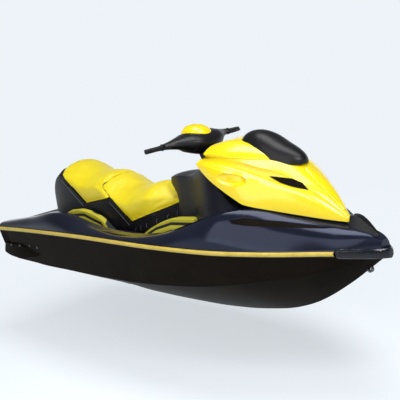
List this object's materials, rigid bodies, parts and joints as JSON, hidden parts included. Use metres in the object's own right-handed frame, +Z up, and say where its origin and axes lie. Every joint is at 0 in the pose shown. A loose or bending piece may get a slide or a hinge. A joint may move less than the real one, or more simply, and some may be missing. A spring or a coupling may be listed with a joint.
{
  "type": "personal watercraft",
  "caption": "Sit-down personal watercraft: V hull, decked footwells, two-piece seat, lifting hood with visor, tilted handlebar, jet pump with steering nozzle and reverse gate.",
  "frame": {"origin": "on the static waterline, on the centre line, at mid length", "axes": "+X to the bow, +Y to port, +Z up"},
  "size_m": [3.0449, 1.1324, 1.1268],
  "materials": {
    "hull_black": "gelcoat",
    "deck_navy": "gelcoat",
    "rail_yellow": "satin",
    "rubber_black": "matte",
    "trim_black": "grained",
    "visor_black": "satin",
    "mat_rubber": "ribbed",
    "cast_alloy": "cast",
    "stainless": "polished",
    "hood_yellow": "gelcoat",
    "mirror_glass": "polished",
    "seat_black": "grained vinyl",
    "seat_yellow": "grained vinyl"
  },
  "bodies": {
    "hull_body": {"hull": "hull_black", "deck": "deck_navy", "rub_rails": "rail_yellow", "bow_bumper": "rubber_black", "nose_cover": "trim_black", "console": "trim_black", "gauge_cluster": "trim_black", "footwell_mats": "mat_rubber", "stern_mat": "mat_rubber", "storage_bin": "trim_black", "engine_block": "cast_alloy", "sponsons": "trim_black", "bow_eye": "stainless", "stern_eyes": "stainless", "pump_housing": "cast_alloy", "ride_plate": "cast_alloy", "intake_grate": "cast_alloy"},
    "hood_body": {"hood_lower": "hood_yellow", "hood_upper": "hood_yellow", "visor": "visor_black", "hood_vents": "trim_black", "winglet_mirrors": "mirror_glass"},
    "seat_body": {"seat_base": "seat_black", "driver_cushion": "seat_yellow", "passenger_cushion": "seat_yellow", "grab_handle": "trim_black"},
    "handlebar_body": {"steering_column": "trim_black", "handlebar_tube": "stainless", "handlebar_cover": "visor_black", "handlebar_cap": "hood_yellow", "handlebar_grips": "rubber_black", "control_levers": "trim_black"},
    "impeller_body": {"impeller": "stainless", "drive_shaft": "stainless"},
    "nozzle_body": {"steering_nozzle": "cast_alloy"},
    "gate_body": {"reverse_gate": "cast_alloy"}
  },
  "joints": [
    {"name": "steering_turn", "type": "hinge", "parent": "hull_body", "child": "handlebar_body", "pos_m": [0.262, 0, 0.592], "axis": [-0.4226, 0, 0.9063], "range_deg": [-24, 24]},
    {"name": "nozzle_turn", "type": "hinge", "parent": "hull_body", "child": "nozzle_body", "pos_m": [-1.43, 0, -0.14], "axis": [0, 0, 1], "range_deg": [-20, 20]},
    {"name": "impeller_spin", "type": "hinge", "parent": "hull_body", "child": "impeller_body", "pos_m": [-1.19, 0, -0.14], "axis": [1, 0, 0], "continuous": true},
    {"name": "gate_swing", "type": "hinge", "parent": "hull_body", "child": "gate_body", "pos_m": [-1.368, 0, -0.14], "axis": [0, -1, 0], "range_deg": [0, 62]},
    {"name": "hood_hinge", "type": "hinge", "parent": "hull_body", "child": "hood_body", "pos_m": [1.3, 0, 0.388], "axis": [0, 1, 0], "range_deg": [0, 50]},
    {"name": "seat_lift", "type": "slide", "parent": "hull_body", "child": "seat_body", "axis": [-0.9511, 0, 0.309], "range_m": [0, 0.4]}
  ],
  "couplings": [
    {"joint": "nozzle_turn", "follows": "steering_turn", "ratio": -0.8}
  ]
}
